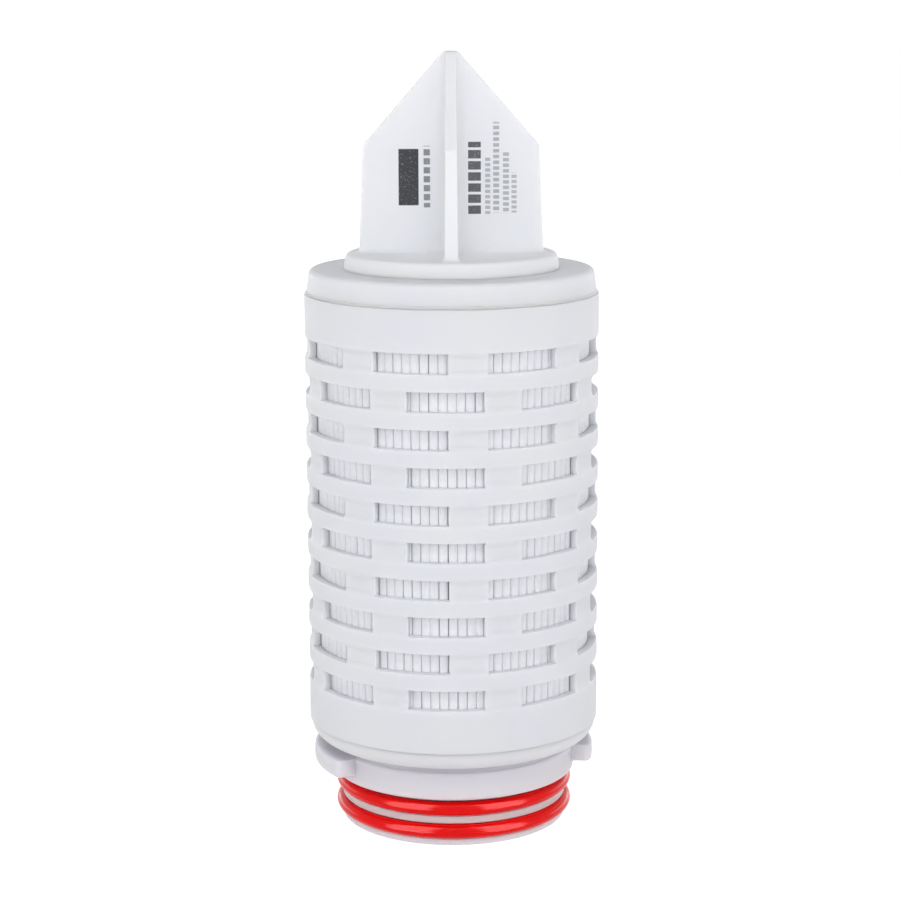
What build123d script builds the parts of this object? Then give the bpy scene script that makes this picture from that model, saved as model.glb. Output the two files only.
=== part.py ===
"""Pleated membrane filter cartridge with a finned top and a bayonet spigot with two O-rings.

The origin is the middle of the spigot's lowest face, +Z runs up to the tip of the fin, and the
fin's blades lie along X and Y. All sizes are millimetres.
"""

import os
from math import cos, pi, sin

from build123d import *

os.makedirs("parts", exist_ok=True)

# Heights of the joints between the welded mouldings
SPIGOT_TOP_Z = 20.4
CAGE_BASE_Z = 25.0
PACK_BASE_Z = 27.0
PACK_TOP_Z = 126.0
CAGE_TOP_Z = 128.7
CAP_TOP_Z = 134.5

# Depth of the cuts that pierce the cage and the core, centred on their outer faces
PIERCING_DEPTH = 8.0

# Outer cage
CAGE_R = 35.0
CAGE_WALL = 1.8
CAGE_LEAD_IN = 0.4
CAGE_INNER_R = CAGE_R - CAGE_WALL
ROWS = 10
ROW_PITCH = 8.74
TOP_ROW_Z = 116.35
WINDOWS_PER_ROW = 8
WINDOW_WIDTH = 16.9
WINDOW_HEIGHT = 4.5
FIRST_ROW_ANGLE = 28.7
ROW_STAGGER = 13.7
GROOVE_DEPTH = 0.55
GROOVE_SLOPE = 0.9
GROOVE_HEIGHT = 4.9

# End caps
PLUG_CLEARANCE = 0.1
TOP_CAP_R = 33.75
TOP_CAP_BASE_R = 34.35
TOP_CAP_EDGE = 0.7
WELD_BEAD_R = 34.85
WELD_BEAD_HEIGHT = 0.35
BOTTOM_CAP_R = 34.5
BOTTOM_CAP_CORNER = 4.0

# Fin and its collar
COLLAR_R = 25.6
COLLAR_HEIGHT = 3.6
COLLAR_DRAFT = 9.0
COLLAR_EDGE = 0.7
FIN_TIP_Z = 185.1
FIN_SHOULDER_Z = 163.3
FIN_BASE_HALF = 21.75
FIN_SHOULDER_HALF = 20.65
FIN_TIP_HALF = 1.65
BLADE_BASE_THICKNESS = 3.2
BLADE_DRAFT = 0.42
BLADE_ROOT_R = 2.2
BLADE_EDGE = 0.35

# Spigot with its grooves, flange and lugs
SPIGOT_R = 27.2
SPIGOT_CORNER = 0.9
ORING_SECTION = 3.53
ORING_OUTER_R = 28.7
ORING_HEIGHTS = (3.6, 9.25)
GROOVE_WIDTH = 3.9
FLANGE_R = 29.3
FLANGE_BASE_Z = 11.9
FLANGE_TOP_Z = 18.4
FLANGE_CORNER = 0.6
NECK_R = 26.5
LUG_R = 34.0
LUG_BASE_Z = 14.2
LUG_ARC = 49.0
LUG_CENTRE_ANGLE = 11.9
LUG_CORNER = 1.6
LUG_EDGE = 0.7
OUTLET_R = 19.5
SLEEVE_SEAT_R = 20.5
SLEEVE_SEAT_DEPTH = 9.0
SLEEVE_RECESS = 0.6

# Inner core
CORE_R = 18.0
CORE_BORE_R = 16.0
CORE_ROWS = 9
CORE_ROW_PITCH = 10.2
CORE_SLOTS = 6
CORE_SLOT_WIDTH = 12.0
CORE_SLOT_HEIGHT = 5.0

# Pleated pack, three sheets folded together
PLEATS = 96
PLEAT_CREST_R = 32.9
PLEAT_ROOT_R = 18.3
SUPPORT_THICKNESS = 0.15
MEMBRANE_THICKNESS = 0.12
PLEAT_CREST_HALF = 0.94
PLEAT_VALLEY_HALF = 0.08
PACK_THICKNESS = 2 * SUPPORT_THICKNESS + MEMBRANE_THICKNESS


# Outer cage: a tube with ten grooves, each pierced by a ring of windows, alternate rows staggered
ROW_HEIGHTS = [TOP_ROW_Z - row * ROW_PITCH for row in range(ROWS)]

cage_outline = [
    (CAGE_INNER_R, CAGE_BASE_Z),
    (CAGE_R - CAGE_LEAD_IN, CAGE_BASE_Z),
    (CAGE_R, CAGE_BASE_Z + CAGE_LEAD_IN),
]
for row_z in reversed(ROW_HEIGHTS):
    lower, upper = row_z - GROOVE_HEIGHT / 2, row_z + GROOVE_HEIGHT / 2
    cage_outline += [
        (CAGE_R, lower),
        (CAGE_R - GROOVE_DEPTH, lower + GROOVE_SLOPE),
        (CAGE_R - GROOVE_DEPTH, upper - GROOVE_SLOPE),
        (CAGE_R, upper),
    ]
cage_outline += [
    (CAGE_R, CAGE_TOP_Z - CAGE_LEAD_IN),
    (CAGE_R - CAGE_LEAD_IN, CAGE_TOP_Z),
    (CAGE_INNER_R, CAGE_TOP_Z),
]

with BuildPart() as outer_cage:
    with BuildSketch(Plane.XZ):
        with BuildLine():
            Polyline(*cage_outline, close=True)
        make_face()
    revolve(axis=Axis.Z)
    for row, row_z in enumerate(ROW_HEIGHTS):
        row_angle = FIRST_ROW_ANGLE + (row % 2) * ROW_STAGGER
        with Locations((0, 0, row_z)):
            with PolarLocations(CAGE_R, WINDOWS_PER_ROW, start_angle=row_angle):
                Box(PIERCING_DEPTH, WINDOW_WIDTH, WINDOW_HEIGHT, mode=Mode.SUBTRACT)

outer_cage.part.label = "outer_cage"
export_step(outer_cage.part, "parts/outer_cage.step")


# Top end cap: a closed disc with a plug that fills the cage's mouth and a bead at its weld
with BuildPart() as top_end_cap:
    with BuildSketch(Plane.XZ):
        with BuildLine():
            Polyline(
                (0, PACK_TOP_Z),
                (CAGE_INNER_R - PLUG_CLEARANCE, PACK_TOP_Z),
                (CAGE_INNER_R - PLUG_CLEARANCE, CAGE_TOP_Z),
                (WELD_BEAD_R, CAGE_TOP_Z),
                (WELD_BEAD_R, CAGE_TOP_Z + WELD_BEAD_HEIGHT),
                (TOP_CAP_BASE_R, CAGE_TOP_Z + 2 * WELD_BEAD_HEIGHT),
                (TOP_CAP_R, CAP_TOP_Z),
                (0, CAP_TOP_Z),
                close=True,
            )
        make_face()
    revolve(axis=Axis.Z)
    fillet(top_end_cap.faces().sort_by(Axis.Z)[-1].edges(), TOP_CAP_EDGE)

top_end_cap.part.label = "top_end_cap"
export_step(top_end_cap.part, "parts/top_end_cap.step")


# Fin adapter: crossed blades cut to a pointed outline from both sides, on a drafted collar
fin_outline = [
    (-FIN_BASE_HALF, CAP_TOP_Z),
    (FIN_BASE_HALF, CAP_TOP_Z),
    (FIN_BASE_HALF, CAP_TOP_Z + COLLAR_HEIGHT),
    (FIN_SHOULDER_HALF, FIN_SHOULDER_Z),
    (FIN_TIP_HALF, FIN_TIP_Z),
    (-FIN_TIP_HALF, FIN_TIP_Z),
    (-FIN_SHOULDER_HALF, FIN_SHOULDER_Z),
    (-FIN_BASE_HALF, CAP_TOP_Z + COLLAR_HEIGHT),
]

with BuildPart() as fin_adapter:
    with BuildSketch(Plane.XY.offset(CAP_TOP_Z)) as cross:
        Rectangle(2 * COLLAR_R, BLADE_BASE_THICKNESS)
        Rectangle(BLADE_BASE_THICKNESS, 2 * COLLAR_R)
        fillet(cross.vertices().sort_by_distance((0, 0, CAP_TOP_Z))[:4], BLADE_ROOT_R)
    extrude(amount=FIN_TIP_Z - CAP_TOP_Z, taper=BLADE_DRAFT)
    for side in (Plane.XZ, Plane.YZ):
        with BuildSketch(side):
            with BuildLine():
                Polyline(*fin_outline, close=True)
            make_face()
        extrude(amount=COLLAR_R, both=True, mode=Mode.INTERSECT)
    blade_rims = fin_adapter.edges().filter_by(
        lambda edge: FIN_BASE_HALF < edge.length < FIN_SHOULDER_Z - CAP_TOP_Z
    )
    fillet(blade_rims, BLADE_EDGE)
    with BuildSketch(Plane.XY.offset(CAP_TOP_Z)):
        Circle(COLLAR_R)
    extrude(amount=COLLAR_HEIGHT, taper=COLLAR_DRAFT)
    collar_rim = fin_adapter.edges().filter_by(GeomType.CIRCLE).sort_by(SortBy.RADIUS)[-2]
    fillet(collar_rim, COLLAR_EDGE)

fin_adapter.part.label = "fin_adapter"
export_step(fin_adapter.part, "parts/fin_adapter.step")


# Bottom end cap: an open disc, rounded below, with a plug in the cage's mouth
with BuildPart() as bottom_end_cap:
    with BuildSketch(Plane.XZ):
        with BuildLine():
            Polyline(
                (CORE_BORE_R, SPIGOT_TOP_Z),
                (BOTTOM_CAP_R, SPIGOT_TOP_Z),
                (BOTTOM_CAP_R, CAGE_BASE_Z),
                (CAGE_INNER_R - PLUG_CLEARANCE, CAGE_BASE_Z),
                (CAGE_INNER_R - PLUG_CLEARANCE, PACK_BASE_Z),
                (CORE_BORE_R, PACK_BASE_Z),
                close=True,
            )
        make_face()
    revolve(axis=Axis.Z)
    rim = bottom_end_cap.faces().sort_by(Axis.Z)[0].edges().sort_by(SortBy.RADIUS)[-1]
    fillet(rim, BOTTOM_CAP_CORNER)

bottom_end_cap.part.label = "bottom_end_cap"
export_step(bottom_end_cap.part, "parts/bottom_end_cap.step")


# O-ring adapter: the spigot with two seal grooves, a flange and a neck up to the bottom cap
oring_path_r = ORING_OUTER_R - ORING_SECTION / 2
groove_floor_r = ORING_OUTER_R - ORING_SECTION

with BuildPart() as lug:
    with BuildSketch(Plane.XZ):
        with BuildLine():
            Polyline(
                (NECK_R, LUG_BASE_Z),
                (LUG_R, LUG_BASE_Z),
                (LUG_R, FLANGE_TOP_Z),
                (NECK_R, FLANGE_TOP_Z),
                close=True,
            )
        make_face()
    revolve(axis=Axis.Z, revolution_arc=LUG_ARC)
    outer_face = lug.faces().filter_by(GeomType.CYLINDER).sort_by(SortBy.AREA)[-1]
    fillet(outer_face.edges().filter_by(Axis.Z), LUG_CORNER)
    rim_edges = lug.edges().filter_by(
        lambda edge: edge.geom_type == GeomType.CIRCLE and abs(edge.radius - NECK_R) > 0.01
    )
    fillet(rim_edges, LUG_EDGE)

with BuildPart() as oring_adapter:
    with BuildSketch(Plane.XZ):
        with BuildLine():
            Polyline(
                (SLEEVE_SEAT_R, 0),
                (SPIGOT_R, 0),
                (SPIGOT_R, FLANGE_BASE_Z),
                (FLANGE_R, FLANGE_BASE_Z),
                (FLANGE_R, FLANGE_TOP_Z),
                (NECK_R, FLANGE_TOP_Z),
                (NECK_R, SPIGOT_TOP_Z),
                (OUTLET_R, SPIGOT_TOP_Z),
                (OUTLET_R, SLEEVE_SEAT_DEPTH),
                (SLEEVE_SEAT_R, SLEEVE_SEAT_DEPTH),
                close=True,
            )
        make_face()
    revolve(axis=Axis.Z)
    nose_edge = oring_adapter.faces().sort_by(Axis.Z)[0].edges().sort_by(SortBy.RADIUS)[-1]
    fillet(nose_edge, SPIGOT_CORNER)
    flange_edges = oring_adapter.edges().filter_by(
        lambda edge: edge.geom_type == GeomType.CIRCLE and abs(edge.radius - FLANGE_R) < 0.01
    )
    fillet(flange_edges, FLANGE_CORNER)
    for half_turn in (0, 180):
        add(lug.part.rotate(Axis.Z, LUG_CENTRE_ANGLE - LUG_ARC / 2 + half_turn))
    for seal_z in ORING_HEIGHTS:
        with BuildSketch(Plane.XY.offset(seal_z - GROOVE_WIDTH / 2)):
            Circle(FLANGE_R)
            Circle(groove_floor_r, mode=Mode.SUBTRACT)
        extrude(amount=GROOVE_WIDTH, mode=Mode.SUBTRACT)

oring_adapter.part.label = "oring_adapter"
export_step(oring_adapter.part, "parts/oring_adapter.step")


# O-rings: round cords in the two grooves
for seal_name, seal_z in zip(("lower_oring", "upper_oring"), ORING_HEIGHTS):
    with BuildPart() as oring:
        with BuildSketch(Plane.XZ):
            with Locations((oring_path_r, seal_z)):
                Circle(ORING_SECTION / 2)
        revolve(axis=Axis.Z)

    oring.part.label = seal_name
    export_step(oring.part, f"parts/{seal_name}.step")


# Reinforcing sleeve: the steel ring that keeps the spigot round when it is steamed
with BuildPart() as reinforcing_sleeve:
    with BuildSketch(Plane.XY.offset(SLEEVE_RECESS)):
        Circle(SLEEVE_SEAT_R)
        Circle(OUTLET_R, mode=Mode.SUBTRACT)
    extrude(amount=SLEEVE_SEAT_DEPTH - SLEEVE_RECESS)

reinforcing_sleeve.part.label = "reinforcing_sleeve"
export_step(reinforcing_sleeve.part, "parts/reinforcing_sleeve.step")


# Inner core: the perforated tube that carries the pleats from inside
core_middle_z = (PACK_BASE_Z + PACK_TOP_Z) / 2

with BuildPart() as inner_core:
    with BuildSketch(Plane.XY.offset(PACK_BASE_Z)):
        Circle(CORE_R)
        Circle(CORE_BORE_R, mode=Mode.SUBTRACT)
    extrude(amount=PACK_TOP_Z - PACK_BASE_Z)
    for row in range(CORE_ROWS):
        row_z = core_middle_z + (row - (CORE_ROWS - 1) / 2) * CORE_ROW_PITCH
        row_angle = (row % 2) * 180 / CORE_SLOTS
        with Locations((0, 0, row_z)):
            with PolarLocations(CORE_R, CORE_SLOTS, start_angle=row_angle):
                Box(PIERCING_DEPTH, CORE_SLOT_WIDTH, CORE_SLOT_HEIGHT, mode=Mode.SUBTRACT)

inner_core.part.label = "inner_core"
export_step(inner_core.part, "parts/inner_core.step")


# Pleated sheets: each lies between two folded surfaces at set depths below the upstream face
def pleat_outline(depth):
    """Corners of the folded surface at this depth: two on each crest and two in each valley."""
    crest_r = PLEAT_CREST_R - depth
    crest_turn = (PLEAT_CREST_HALF - depth) / crest_r
    valley_r = PLEAT_ROOT_R + PACK_THICKNESS - depth
    valley_turn = (PLEAT_VALLEY_HALF + depth) / valley_r
    corners = []
    for pleat in range(PLEATS):
        crest = 2 * pi * pleat / PLEATS
        valley = crest + pi / PLEATS
        for radius, turn in (
            (crest_r, crest - crest_turn),
            (crest_r, crest + crest_turn),
            (valley_r, valley - valley_turn),
            (valley_r, valley + valley_turn),
        ):
            corners.append((radius * cos(turn), radius * sin(turn)))
    return corners


sheets = (
    ("upstream_support", SUPPORT_THICKNESS),
    ("membrane", MEMBRANE_THICKNESS),
    ("downstream_support", SUPPORT_THICKNESS),
)
depth = 0.0
for sheet_name, thickness in sheets:
    with BuildPart() as sheet:
        with BuildSketch(Plane.XY.offset(PACK_BASE_Z)):
            with BuildLine():
                Polyline(*pleat_outline(depth), close=True)
            make_face()
            with BuildLine():
                Polyline(*pleat_outline(depth + thickness), close=True)
            make_face(mode=Mode.SUBTRACT)
        extrude(amount=PACK_TOP_Z - PACK_BASE_Z)

    sheet.part.label = sheet_name
    export_step(sheet.part, f"parts/{sheet_name}.step")
    depth += thickness
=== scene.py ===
"""Looks of a pleated membrane filter cartridge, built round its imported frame.

Lengths are metres in the frame's own axes: the cartridge stands on its spigot, +Z runs up to the
tip of the fin, the fin's blades lie along X and Y, and -Y is the side that the camera sees.
"""

import logging
import math
from dataclasses import dataclass, field
from enum import Enum

import bmesh
import bpy
import numpy as np
from mathutils import Euler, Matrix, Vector


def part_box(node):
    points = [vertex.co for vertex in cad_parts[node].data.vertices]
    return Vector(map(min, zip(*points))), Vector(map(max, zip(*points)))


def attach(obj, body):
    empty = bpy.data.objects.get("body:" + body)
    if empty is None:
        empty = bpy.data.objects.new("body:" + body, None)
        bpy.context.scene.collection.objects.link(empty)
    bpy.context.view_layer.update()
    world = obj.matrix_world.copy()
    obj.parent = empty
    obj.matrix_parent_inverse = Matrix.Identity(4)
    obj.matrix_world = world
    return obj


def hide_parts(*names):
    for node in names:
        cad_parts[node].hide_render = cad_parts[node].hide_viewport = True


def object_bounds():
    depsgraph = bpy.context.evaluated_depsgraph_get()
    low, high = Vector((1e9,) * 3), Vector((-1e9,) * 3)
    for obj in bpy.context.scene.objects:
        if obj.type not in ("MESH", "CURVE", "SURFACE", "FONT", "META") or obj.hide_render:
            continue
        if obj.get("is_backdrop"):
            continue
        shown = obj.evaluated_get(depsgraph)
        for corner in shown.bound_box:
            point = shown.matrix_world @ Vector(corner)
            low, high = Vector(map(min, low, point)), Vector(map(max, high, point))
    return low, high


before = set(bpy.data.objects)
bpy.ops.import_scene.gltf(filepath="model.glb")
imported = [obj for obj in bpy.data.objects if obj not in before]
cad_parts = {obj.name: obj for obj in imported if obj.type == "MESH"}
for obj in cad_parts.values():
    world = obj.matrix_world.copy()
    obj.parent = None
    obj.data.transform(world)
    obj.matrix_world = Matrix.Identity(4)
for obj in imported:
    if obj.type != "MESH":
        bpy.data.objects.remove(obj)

MM = 0.001
FULL_TURN = 2 * math.pi
ROOT = "root"
SHARP_ANGLE = math.radians(48)
GUARD = 0.12 * MM
SAME_PLACE = 1e-7
NO_LENGTH = 1e-8
SEALS = ("lower_seal_ring", "upper_seal_ring")

Colour = tuple[float, float, float, float]
Socket = bpy.types.NodeSocket

log = logging.getLogger("cartridge")


class Wrap(Enum):
    """Which ways a grid of points closes on itself."""

    NONE = (False, False)
    AROUND = (True, False)
    BOTH = (True, True)


# Numpy surfaces


def grid_quads(across: int, along: int, wrap: Wrap) -> np.ndarray:
    """Lists the quads of a grid whose point (i, j) has the number i * along + j.

    Args:
        across: Number of points in the first direction.
        along: Number of points in the second direction.
        wrap: Directions in which the last point joins the first.

    Returns:
        Array of four point numbers a row, counter-clockwise for i to the right and j upwards.
    """
    around, over = wrap.value
    i, j = np.meshgrid(
        np.arange(across if around else across - 1),
        np.arange(along if over else along - 1),
        indexing="ij",
    )
    i, j = i.ravel(), j.ravel()
    right, up = (i + 1) % across, (j + 1) % along
    return np.stack([i * along + j, right * along + j, right * along + up, i * along + up], axis=1)


def polar(radius: np.ndarray, angle: np.ndarray, height: np.ndarray) -> np.ndarray:
    """Turns radius, angle about Z and height, which broadcast together, into points.

    Returns:
        Array of points, x = radius cos(angle), y = radius sin(angle), z = height.
    """
    radius, angle, height = np.broadcast_arrays(radius, angle, height)
    return np.stack([radius * np.cos(angle), radius * np.sin(angle), height], axis=-1)


def even_turns(count: int) -> np.ndarray:
    """Gives that many angles, evenly spaced round the axis and starting at 0."""
    return np.arange(count) * FULL_TURN / count


def profile(radius: object, height: object) -> np.ndarray:
    """Pairs radii and heights, either of which may be a single number, as points of a profile."""
    return np.stack(np.broadcast_arrays(radius, height), axis=-1)


def toward(bearing: object, elevation: object) -> np.ndarray:
    """Gives the unit vector (sin b cos e, -cos b cos e, sin e) at a bearing b and an elevation e.

    Args:
        bearing: Angle from the camera's side of the part, in degrees.
        elevation: Angle above the horizon, in degrees.

    Returns:
        The vector, or an array of them where the angles are arrays.
    """
    b, e = np.radians(bearing), np.radians(elevation)
    return np.stack(np.broadcast_arrays(np.sin(b) * np.cos(e), -np.cos(b) * np.cos(e), np.sin(e)), axis=-1)


def make_piece(name: str, points: np.ndarray, faces: np.ndarray) -> bpy.types.Object:
    """Puts points and faces in a new object at the origin, welds its poles and shades it.

    Args:
        name: Name of the object and of its mesh.
        points: Points, one a row.
        faces: Point numbers of each face, one face a row.

    Returns:
        The new object, linked to the scene.
    """
    mesh = bpy.data.meshes.new(name)
    mesh.from_pydata(points.reshape(-1, 3).tolist(), [], faces.tolist())
    piece = bpy.data.objects.new(name, mesh)
    bpy.context.scene.collection.objects.link(piece)
    weld_poles(mesh)
    mesh.shade_smooth()
    mesh.set_sharp_from_angle(angle=SHARP_ANGLE)
    return piece


def weld_poles(mesh: bpy.types.Mesh) -> None:
    """Merges points that coincide, so that poles and seams are closed."""
    form = bmesh.new()
    form.from_mesh(mesh)
    bmesh.ops.remove_doubles(form, verts=form.verts, dist=SAME_PLACE)
    bmesh.ops.dissolve_degenerate(form, edges=form.edges, dist=NO_LENGTH)
    form.to_mesh(mesh)
    form.free()


def rounded_outline(corners: list[tuple[float, float, float]], steps: int = 5) -> np.ndarray:
    """Rounds the corners of a closed outline.

    Each corner with a radius becomes an arc that is tangent to both of its sides: the arc's centre
    lies on the corner's bisector, and its points turn evenly from one tangent point to the other.
    A guard point on each side, just past the arc, keeps the flats flat under smooth shading.

    Args:
        corners: Places and fillet radii, (r, z, radius), in order round the outline.
        steps: Number of spans in each arc.

    Returns:
        Array of (r, z) points.
    """
    places = np.array([corner[:2] for corner in corners], dtype=float)
    points: list[np.ndarray] = []
    for index, (_, _, radius) in enumerate(corners):
        here = places[index]
        before, after = places[index - 1] - here, places[(index + 1) % len(places)] - here
        if radius <= 0:
            points.append(here[None, :])
            continue
        before_length, after_length = np.linalg.norm(before), np.linalg.norm(after)
        before, after = before / before_length, after / after_length
        half = math.acos(float(np.clip(before @ after, -1, 1))) / 2
        reach = radius / math.tan(half)
        bisector = (before + after) / np.linalg.norm(before + after)
        centre = here + bisector * radius / math.sin(half)
        start, end = here + before * reach - centre, here + after * reach - centre
        turn = math.pi - 2 * half
        share = np.linspace(0, 1, steps + 1)[:, None]
        arc = centre + (np.sin((1 - share) * turn) * start + np.sin(share * turn) * end) / math.sin(turn)
        if before_length > reach + 2 * GUARD:
            arc = np.vstack([here + before * (reach + GUARD), arc])
        if after_length > reach + 2 * GUARD:
            arc = np.vstack([arc, here + after * (reach + GUARD)])
        points.append(arc)
    return np.vstack(points)


def waves(angle: np.ndarray, orders: tuple[int, ...], seed: int) -> np.ndarray:
    """Sums a few sine waves round the part, each with its own phase, scaled to about -1 to 1.

    Args:
        angle: Angles about Z, in radians.
        orders: Number of periods of each wave in a full turn.
        seed: Number that sets the phases.

    Returns:
        Array of the same shape as angle.
    """
    phases = np.random.default_rng(seed).uniform(0, FULL_TURN, len(orders))
    total = sum(np.sin(order * angle + phase) for order, phase in zip(orders, phases))
    return total / math.sqrt(len(orders))


def turned(name: str, outline: np.ndarray, spans: int, swell: np.ndarray | None = None) -> bpy.types.Object:
    """Turns a closed (r, z) outline about Z.

    Args:
        name: Name of the piece.
        outline: Points of the outline, counter-clockwise with r to the right and z upwards.
        spans: Number of spans round the turn.
        swell: Radii to add, one row for each angle and one column for each outline point.

    Returns:
        The finished piece: point (i, j) is outline point j turned by i spans.
    """
    angle = even_turns(spans)[:, None]
    radius = outline[None, :, 0] + (0 if swell is None else swell)
    points = polar(radius, angle, outline[None, :, 1])
    return make_piece(name, points, grid_quads(spans, len(outline), Wrap.BOTH))


# Materials


class Graph:
    """The node tree of a material or of the world, written with short calls."""

    def __init__(self, name: str, world: bool = False) -> None:
        """Starts an empty tree for a new material, or a new world, of this name."""
        self.owner = (bpy.data.worlds if world else bpy.data.materials).new(name)
        self.output = "ShaderNodeOutputWorld" if world else "ShaderNodeOutputMaterial"
        self.owner.use_nodes = True
        self.nodes = self.owner.node_tree.nodes
        self.links = self.owner.node_tree.links
        self.nodes.clear()

    def add(self, kind: str, settings: dict | None = None, **sockets: object) -> bpy.types.Node:
        """Adds a node.

        Args:
            kind: Type of the node, such as "ShaderNodeMix".
            settings: Properties of the node.
            sockets: Inputs by name, with _ for a space: an output socket is linked, and any other
                value is set.

        Returns:
            The new node.
        """
        node = self.nodes.new(kind)
        for key, value in (settings or {}).items():
            setattr(node, key, value)
        for key, value in sockets.items():
            self.feed(node.inputs[key.replace("_", " ")], value)
        return node

    def feed(self, socket: Socket, value: object) -> None:
        """Links an output socket to an input, or sets the input to a value."""
        if isinstance(value, Socket):
            self.links.new(value, socket)
        else:
            socket.default_value = value

    def place(self) -> Socket:
        """Gives the object's own coordinates, in metres."""
        return self.add("ShaderNodeTexCoord").outputs["Object"]

    def stretched(self, scale: tuple[float, float, float]) -> Socket:
        """Gives the object's coordinates multiplied by scale along each axis."""
        return self.add("ShaderNodeMapping", Vector=self.place(), Scale=scale).outputs["Vector"]

    def noise(self, vector: Socket, scale: float, detail: float) -> Socket:
        """Gives a noise value about 0.5 with that many features in a metre."""
        kind = "ShaderNodeTexNoise"
        return self.add(kind, Vector=vector, Scale=scale, Detail=detail, Roughness=0.55).outputs["Fac"]

    def ramp(self, value: Socket, start: float, end: float, low: float = 0, high: float = 1) -> Socket:
        """Takes value from start..end to low..high, clamped, with soft ends."""
        limits = {"From_Min": start, "From_Max": end, "To_Min": low, "To_Max": high}
        smooth = {"interpolation_type": "SMOOTHSTEP"}
        return self.add("ShaderNodeMapRange", smooth, Value=value, **limits).outputs["Result"]

    def math(self, operation: str, first: object, second: object = 0.0) -> Socket:
        """Gives the result of a Math node on two values or sockets."""
        node = self.add("ShaderNodeMath", {"operation": operation})
        self.feed(node.inputs[0], first)
        self.feed(node.inputs[1], second)
        return node.outputs["Value"]

    def blend(self, share: object, first: object, second: object) -> Socket:
        """Mixes two colours."""
        node = self.add("ShaderNodeMix", {"data_type": "RGBA"})
        self.feed(node.inputs["Factor"], share)
        self.feed(node.inputs["A"], first)
        self.feed(node.inputs["B"], second)
        return node.outputs["Result"]

    def clouded(
        self, scale: float, detail: float, start: float, end: float, first: object, second: object
    ) -> Socket:
        """Mixes two colours by a noise of this scale, whose share rises from start to end."""
        return self.blend(self.ramp(self.noise(self.place(), scale, detail), start, end), first, second)

    def bump(self, height: Socket, depth: float, **others: object) -> Socket:
        """Gives the normal of a surface raised by height times depth, in metres."""
        return self.add("ShaderNodeBump", Height=height, Distance=depth, **others).outputs["Normal"]

    def seen(self) -> Socket:
        """Gives 1 where the camera, a reflection or glass looks, and 0 for all other light."""
        path = self.add("ShaderNodeLightPath").outputs
        shown = self.math("MAXIMUM", path["Is Camera Ray"], path["Is Glossy Ray"])
        return self.math("MAXIMUM", shown, path["Is Transmission Ray"])

    def blend_shaders(self, share: object, first: bpy.types.Node, second: bpy.types.Node) -> bpy.types.Node:
        """Mixes two shaders."""
        mix = self.add("ShaderNodeMixShader", Fac=share)
        self.feed(mix.inputs[1], first.outputs[0])
        self.feed(mix.inputs[2], second.outputs[0])
        return mix

    def finish(self, shader: bpy.types.Node) -> bpy.types.Material | bpy.types.World:
        """Joins the shader to the surface and gives the material or the world back."""
        self.links.new(shader.outputs[0], self.add(self.output).inputs["Surface"])
        return self.owner

    def dressed(self, **sockets: object) -> bpy.types.Material:
        """Finishes the material with a Principled shader whose inputs are given by name."""
        return self.finish(self.add("ShaderNodeBsdfPrincipled", **sockets))


def shade(red: float, green: float, blue: float) -> Colour:
    """Gives a colour with full opacity."""
    return (red, green, blue, 1.0)


@dataclass(frozen=True)
class PrintedBar:
    """A plain bar of print on the fin, whole or cut into dashes along Z.

    Its middle and half sizes lie on the X-Z plane. The dashes repeat every dash_pitch, each
    covering dash_share of it, and density is the ink's strength.
    """

    x: float
    z: float
    half_width: float
    half_height: float
    density: float = 1.0
    dash_pitch: float = 0.0
    dash_share: float = 0.72


FIN_BARS = (
    PrintedBar(-10.0 * MM, 155.9 * MM, 2.35 * MM, 6.6 * MM),
    PrintedBar(-5.7 * MM, 156.0 * MM, 0.75 * MM, 7.2 * MM, 0.7, 2.1 * MM, 0.7),
    PrintedBar(5.5 * MM, 155.5 * MM, 1.5 * MM, 8.6 * MM, 0.9, 2.6 * MM, 0.76),
    PrintedBar(8.6 * MM, 154.0 * MM, 0.6 * MM, 6.8 * MM, 0.42, 1.25 * MM, 0.62),
    PrintedBar(10.6 * MM, 158.1 * MM, 0.7 * MM, 10.6 * MM, 0.46, 1.35 * MM, 0.62),
    PrintedBar(12.9 * MM, 154.5 * MM, 0.7 * MM, 7.2 * MM, 0.44, 1.3 * MM, 0.62),
    PrintedBar(14.8 * MM, 152.2 * MM, 0.6 * MM, 4.7 * MM, 0.42, 1.2 * MM, 0.62),
)


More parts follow.
